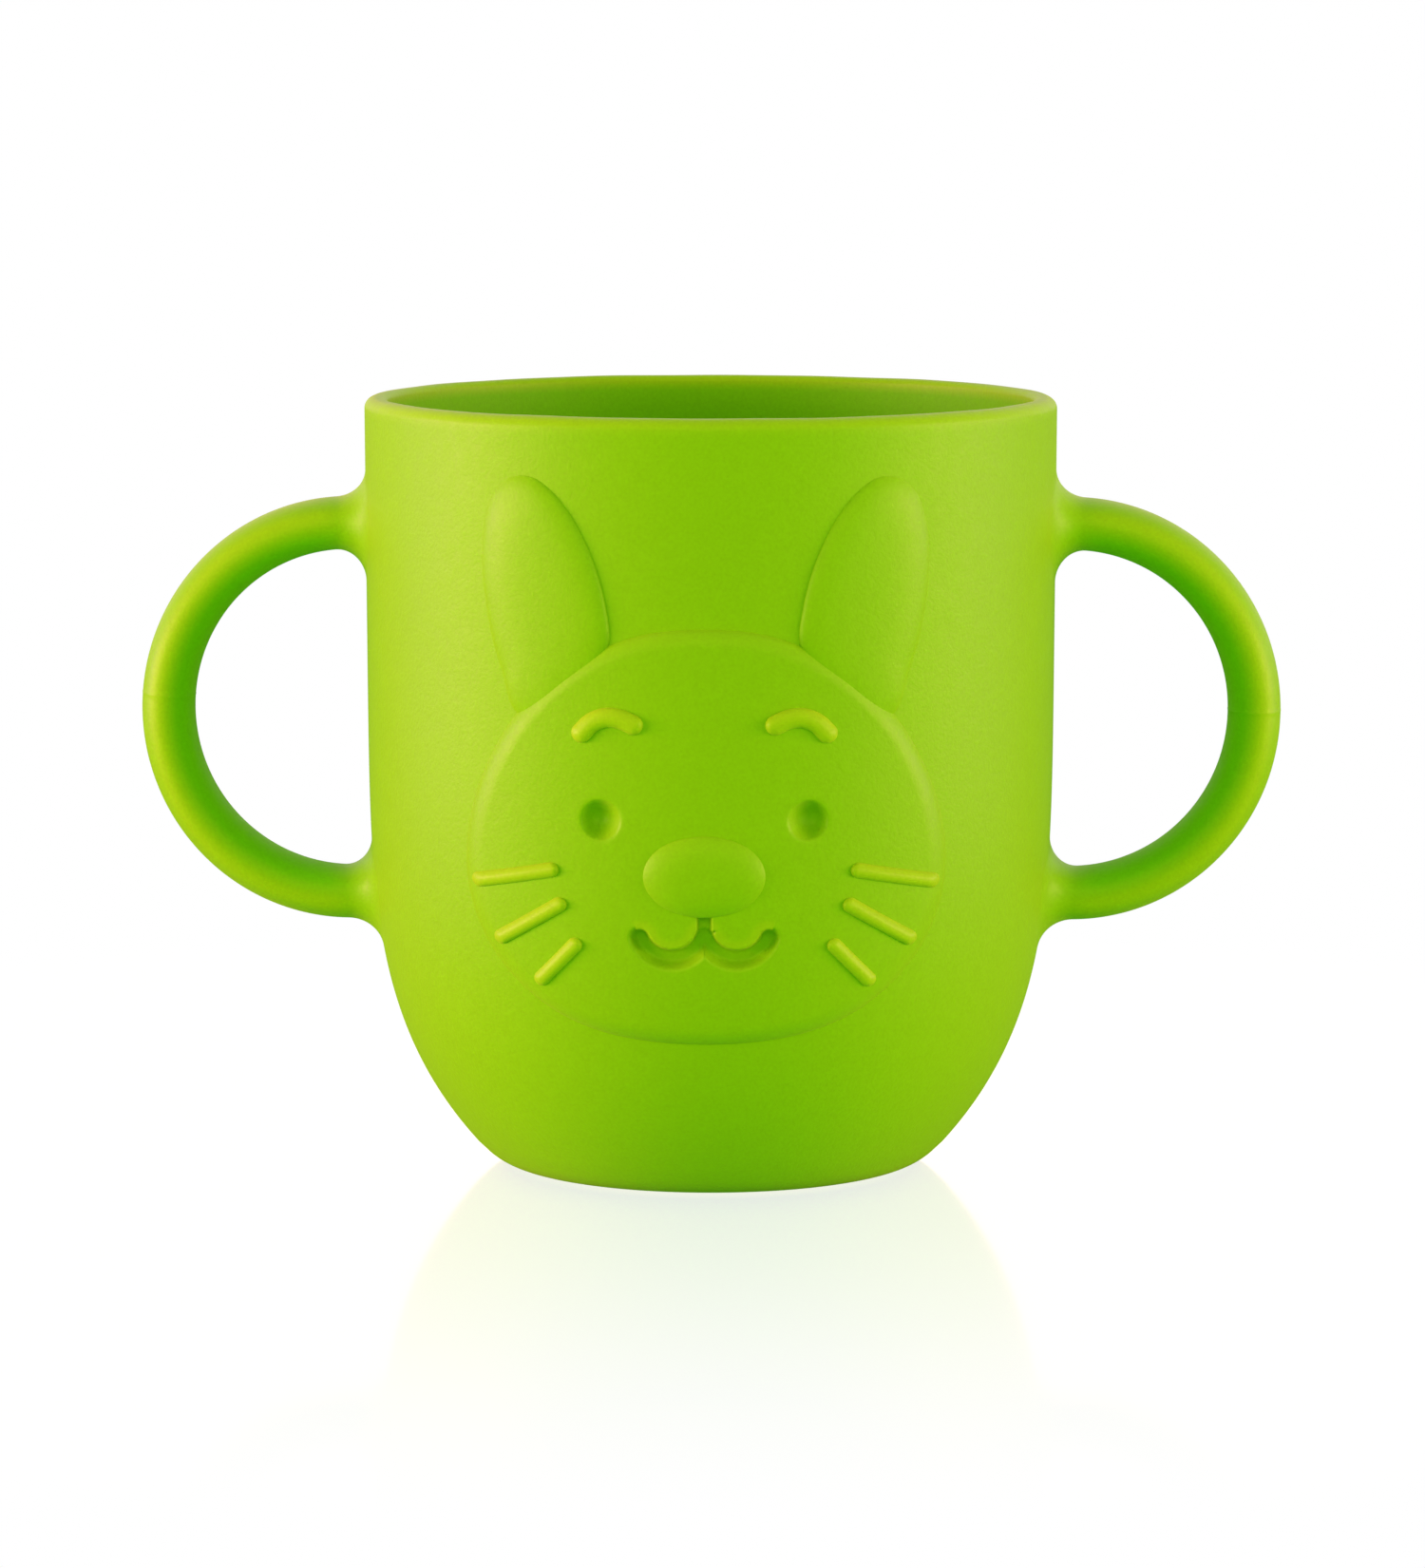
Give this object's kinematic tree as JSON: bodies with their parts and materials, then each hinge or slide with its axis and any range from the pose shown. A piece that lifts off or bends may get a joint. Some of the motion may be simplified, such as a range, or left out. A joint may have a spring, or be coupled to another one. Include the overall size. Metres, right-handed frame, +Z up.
{
  "type": "silicone training cup",
  "caption": "Open toddler training cup in soft lime-green silicone, with a ring handle on each side and a raised rabbit face on the front.",
  "frame": {"origin": "centre of the foot, on the surface that the cup stands on", "axes": "+Z up through the open rim, -Y out of the rabbit face, +X towards the handle on the viewer's right"},
  "size_m": [0.1262, 0.0787, 0.0853],
  "materials": {
    "silicone": "soft matte moulded silicone"
  },
  "bodies": {
    "root": {"cup_base": "silicone", "cup_wall": "silicone", "rim_lip": "silicone", "head_relief": "silicone", "nose": "silicone", "handle_left": "silicone", "ear_left": "silicone", "eyebrow_left": "silicone", "whisker_left_upper": "silicone", "whisker_left_middle": "silicone", "whisker_left_lower": "silicone", "handle_right": "silicone", "ear_right": "silicone", "eyebrow_right": "silicone", "whisker_right_upper": "silicone", "whisker_right_middle": "silicone", "whisker_right_lower": "silicone"}
  },
  "joints": []
}
